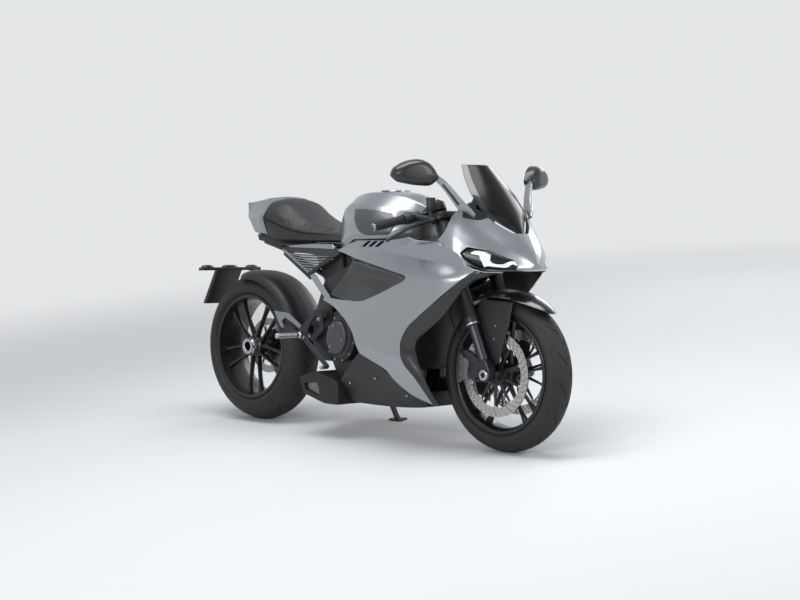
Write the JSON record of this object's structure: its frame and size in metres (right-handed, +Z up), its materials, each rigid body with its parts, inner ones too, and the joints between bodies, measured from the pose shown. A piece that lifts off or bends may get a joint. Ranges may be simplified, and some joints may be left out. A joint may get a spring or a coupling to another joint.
{
  "type": "sport motorcycle",
  "caption": "Fully faired sport motorcycle parked on its side stand, with turning wheels, steering, folding stand and hinged filler cap.",
  "frame": {"origin": "centre of the bounding box at ground level, with the machine leaning 8 degrees to its left on the stand", "axes": "+X ahead, +Y to the rider's left, +Z up"},
  "size_m": [2.0989, 0.8608, 1.1443],
  "materials": {
    "bar_black": "satin black",
    "bracket_black": "satin black forging",
    "caliper_metal": "anodised",
    "cap_metal": "satin",
    "chain_steel": "oiled roller chain",
    "cover_black": "satin black casting",
    "disc_steel": "ground rotor",
    "engine_metal": "dark painted casting",
    "exhaust_black": "heat-resistant matte black",
    "exhaust_steel": "heat-tinted tube",
    "fender_black": "moulded black",
    "fork_black": "black coated tube",
    "frame_black": "satin black",
    "grip_rubber": "moulded grip",
    "hose_rubber": "brake hose",
    "lamp_clear": "clear lamp lens",
    "lamp_red": "red lens",
    "machined_steel": "machined",
    "paint_silver": "metallic silver, clear coat",
    "radiator_black": "matte core",
    "screen_smoke": "dark smoked screen",
    "seat_cover": "grained seat cover",
    "slider_metal": "dark anodised",
    "stalk_silver": "metallic silver",
    "trim_black": "moulded black",
    "tyre": "matte tread and sidewall",
    "wheel_black": "satin black cast wheel"
  },
  "bodies": {
    "chassis": {"alternator_cover": "cover_black", "belly_pan": "trim_black", "clutch_cover": "cover_black", "dash_stay": "trim_black", "drive_chain": "chain_steel", "duct_panels": "trim_black", "engine_block": "engine_metal", "exhaust_headers": "exhaust_steel", "footrest_left": "bracket_black", "footrest_right": "bracket_black", "front_sprocket": "machined_steel", "front_trims": "trim_black", "fuel_tank": "paint_silver", "headlamps": "lamp_clear", "knee_pads": "trim_black", "louvre_panels": "trim_black", "main_frame": "frame_black", "mirror_housings": "trim_black", "mirror_stalks": "stalk_silver", "nose_fairing": "paint_silver", "plate_holder": "trim_black", "radiator": "radiator_black", "rear_caliper": "caliper_metal", "rear_hugger": "trim_black", "rear_shock": "machined_steel", "seat": "seat_cover", "side_fairing_left": "paint_silver", "side_fairing_right": "paint_silver", "silencer": "exhaust_black", "subframe": "frame_black", "swingarm": "frame_black", "tail_cowl": "paint_silver", "tail_lamp": "lamp_red", "windscreen": "screen_smoke"},
    "steering": {"fork_outer_tubes": "fork_black", "fork_sliders": "slider_metal", "triple_clamp": "frame_black", "clip_on_right": "bar_black", "clip_on_left": "bar_black", "grips": "grip_rubber", "front_fender": "fender_black", "front_calipers": "caliper_metal", "front_axle": "machined_steel", "front_brake_hoses": "hose_rubber"},
    "front_wheel": {"front_tyre": "tyre", "front_rim": "wheel_black", "front_discs": "disc_steel"},
    "rear_wheel": {"rear_tyre": "tyre", "rear_rim": "wheel_black", "rear_disc": "disc_steel", "rear_spindle": "machined_steel"},
    "side_stand": {"side_stand": "frame_black"},
    "filler_cap": {"filler_cap": "cap_metal"}
  },
  "joints": [
    {"name": "steering", "type": "hinge", "parent": "chassis", "child": "steering", "pos_m": [0.72027, -0.10522, 0.28515], "axis": [-0.4067, 0.1271, 0.9047], "range_deg": [-24, 24]},
    {"name": "front_wheel_spin", "type": "hinge", "parent": "steering", "child": "front_wheel", "pos_m": [0.7495, -0.10341, 0.29804], "axis": [0, 0.9903, -0.1392], "continuous": true},
    {"name": "rear_wheel_spin", "type": "hinge", "parent": "chassis", "child": "rear_wheel", "pos_m": [-0.6995, -0.09993, 0.3228], "axis": [0, 0.9903, -0.1392], "continuous": true},
    {"name": "side_stand_fold", "type": "hinge", "parent": "chassis", "child": "side_stand", "pos_m": [-0.1145, 0.04005, 0.21224], "axis": [0.1556, 0.962, 0.2242], "range_deg": [0, 106]},
    {"name": "filler_cap_lid", "type": "hinge", "parent": "chassis", "child": "filler_cap", "pos_m": [0.1885, -0.00605, 0.99073], "axis": [0, 0.9903, -0.1392], "range_deg": [0, 100]}
  ]
}
